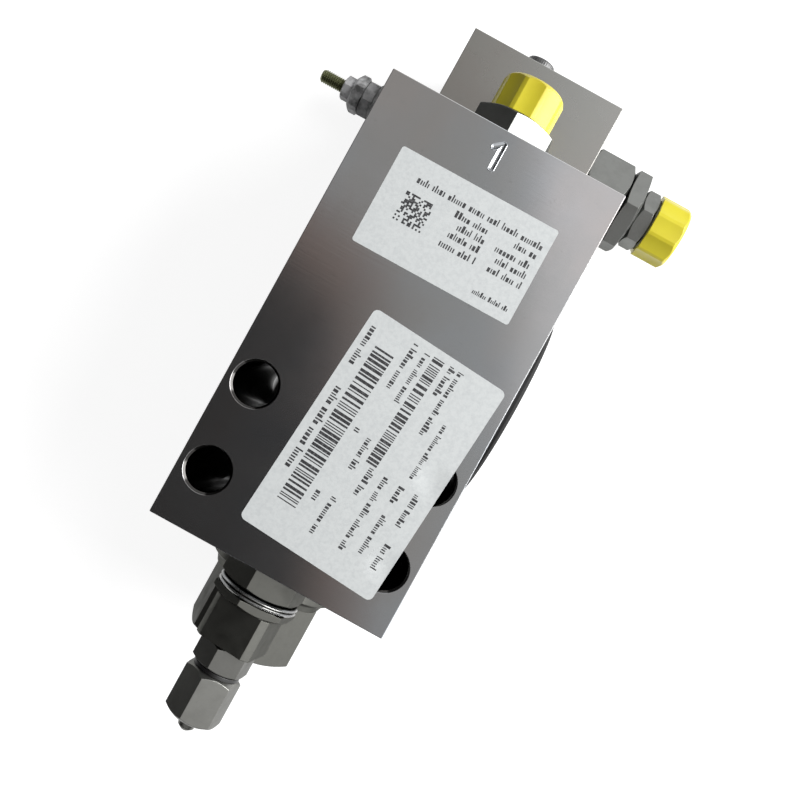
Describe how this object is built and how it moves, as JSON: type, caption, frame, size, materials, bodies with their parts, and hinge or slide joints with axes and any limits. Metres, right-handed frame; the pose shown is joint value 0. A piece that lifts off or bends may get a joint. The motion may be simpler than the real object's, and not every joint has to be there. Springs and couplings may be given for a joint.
{
  "type": "hydraulic valve block",
  "caption": "Flange-mounted load-holding valve block for a hydraulic motor, with a brake valve on its head, an adjustable relief cartridge, a spool plug and capped port fittings.",
  "frame": {"origin": "centre of the motor port, which is also the centre of the four bolt holes, on the ground motor face", "axes": "+Z away from the motor, out of the front face; +Y along the block towards the brake valve; +X towards the covered side port"},
  "size_m": [0.1383, 0.2432, 0.085],
  "materials": {
    "block_steel": "ground and bright, faintly brushed",
    "fitting_steel": "zinc plated, satin",
    "dull_steel": "zinc plated, dull",
    "bright_ring": "polished",
    "black_screw": "black oxide",
    "olive_stud": "olive chromate",
    "inner_steel": "ground",
    "spring_steel": "drawn wire",
    "cap_washer": "steel with a rubber lip, black",
    "seal_rubber": "moulded",
    "black_cover": "moulded",
    "yellow_cap": "moulded",
    "label_paper": "printed film",
    "label_ink": "print"
  },
  "bodies": {
    "root": {"main_block": "block_steel", "brake_valve_block": "block_steel", "block_screws": "black_screw", "joint_face_o_rings": "seal_rubber", "expander_plugs": "fitting_steel", "motor_port_o_ring": "seal_rubber", "main_plug": "dull_steel", "main_plug_o_ring": "seal_rubber", "main_spring": "spring_steel", "damping_orifice": "inner_steel", "relief_body": "dull_steel", "relief_body_o_ring": "seal_rubber", "relief_seat": "inner_steel", "relief_spring": "spring_steel", "relief_ring": "bright_ring", "relief_bonnet": "dull_steel", "drain_port_fitting": "fitting_steel", "drain_port_o_ring": "seal_rubber", "side_fitting_body": "fitting_steel", "side_fitting_o_ring": "seal_rubber", "side_reducer": "fitting_steel", "brake_cartridge_body": "fitting_steel", "brake_cartridge_o_ring": "seal_rubber", "brake_cartridge_nut": "fitting_steel", "brake_spring": "spring_steel"},
    "drain_cap": {"drain_port_cap": "yellow_cap"},
    "side_cap": {"side_port_cap": "yellow_cap"},
    "port_cover": {"flange_cover": "black_cover"},
    "swivel_nut": {"side_swivel_nut": "fitting_steel"},
    "spool": {"main_spool": "inner_steel", "main_spring_seat": "inner_steel", "check_retainer": "inner_steel", "check_spring": "spring_steel", "pilot_piston": "inner_steel"},
    "check_valve": {"check_poppet": "inner_steel"},
    "relief_valve": {"relief_poppet": "inner_steel"},
    "relief_plate": {"relief_spring_seat": "inner_steel"},
    "relief_screw": {"relief_adjusting_screw": "inner_steel"},
    "relief_nut": {"relief_lock_nut": "dull_steel"},
    "cap_seal": {"relief_cap_seal": "cap_washer"},
    "cap_nut": {"relief_cap_nut": "dull_steel"},
    "brake_piston": {"brake_spool": "inner_steel"},
    "brake_plate": {"brake_spring_seat": "inner_steel"},
    "brake_screw": {"brake_adjusting_screw": "olive_stud"},
    "brake_nut": {"brake_lock_nut": "fitting_steel"}
  },
  "joints": [
    {"name": "drain_cap_pull", "type": "slide", "parent": "root", "child": "drain_cap", "axis": [0, 1, 0], "range_m": [0, 0.014]},
    {"name": "side_cap_pull", "type": "slide", "parent": "root", "child": "side_cap", "axis": [1, 0, 0], "range_m": [0, 0.013]},
    {"name": "port_cover_pull", "type": "slide", "parent": "root", "child": "port_cover", "axis": [1, 0, 0], "range_m": [0, 0.014]},
    {"name": "swivel_nut_turn", "type": "hinge", "parent": "root", "child": "swivel_nut", "pos_m": [0.0468, 0.1256, 0.019], "axis": [1, 0, 0], "continuous": true},
    {"name": "spool_slide", "type": "slide", "parent": "root", "child": "spool", "axis": [0, -1, 0], "range_m": [0, 0.006], "stiffness_N_per_m": 4000, "deforming": ["main_spring"]},
    {"name": "check_valve_lift", "type": "slide", "parent": "spool", "child": "check_valve", "axis": [0, -1, 0], "range_m": [0, 0.006], "stiffness_N_per_m": 300, "deforming": ["check_spring"]},
    {"name": "relief_valve_lift", "type": "slide", "parent": "root", "child": "relief_valve", "axis": [0, -1, 0], "range_m": [0, 0.0015], "stiffness_N_per_m": 2000, "deforming": ["relief_spring"]},
    {"name": "relief_screw_turn", "type": "hinge", "parent": "relief_plate", "child": "relief_screw", "pos_m": [0, -0.06, 0.061], "axis": [0, 1, 0], "range_deg": [-720, 1440]},
    {"name": "relief_plate_slide", "type": "slide", "parent": "root", "child": "relief_plate", "axis": [0, 1, 0], "range_m": [-0.00201, 0.00401], "deforming": ["relief_spring"]},
    {"name": "relief_nut_turn", "type": "hinge", "parent": "root", "child": "relief_nut", "pos_m": [0, -0.065, 0.061], "axis": [0, 1, 0], "range_deg": [-360, 0]},
    {"name": "cap_seal_slide", "type": "slide", "parent": "root", "child": "cap_seal", "axis": [0, -1, 0], "range_m": [0, 0.00801]},
    {"name": "cap_nut_turn", "type": "hinge", "parent": "cap_seal", "child": "cap_nut", "pos_m": [0, -0.078, 0.061], "axis": [0, 1, 0], "range_deg": [-2880, 0]},
    {"name": "brake_spool_slide", "type": "slide", "parent": "root", "child": "brake_piston", "axis": [-1, 0, 0], "range_m": [0, 0.002], "stiffness_N_per_m": 500, "deforming": ["brake_spring"]},
    {"name": "brake_screw_turn", "type": "hinge", "parent": "brake_plate", "child": "brake_screw", "pos_m": [-0.06, 0.1183, 0.013], "axis": [1, 0, 0], "range_deg": [-361, 1081]},
    {"name": "brake_plate_slide", "type": "slide", "parent": "root", "child": "brake_plate", "axis": [1, 0, 0], "range_m": [-0.0008, 0.0024], "deforming": ["brake_spring"]},
    {"name": "brake_nut_turn", "type": "hinge", "parent": "root", "child": "brake_nut", "pos_m": [-0.0605, 0.1183, 0.013], "axis": [1, 0, 0], "range_deg": [-360, 0]}
  ],
  "couplings": [
    {"joint": "relief_plate_slide", "follows": "relief_screw_turn", "m_per_rad": 0.00015915},
    {"joint": "cap_seal_slide", "follows": "cap_nut_turn", "m_per_rad": -0.00015915},
    {"joint": "brake_screw_turn", "follows": "brake_plate_slide", "rad_per_m": 7854}
  ]
}
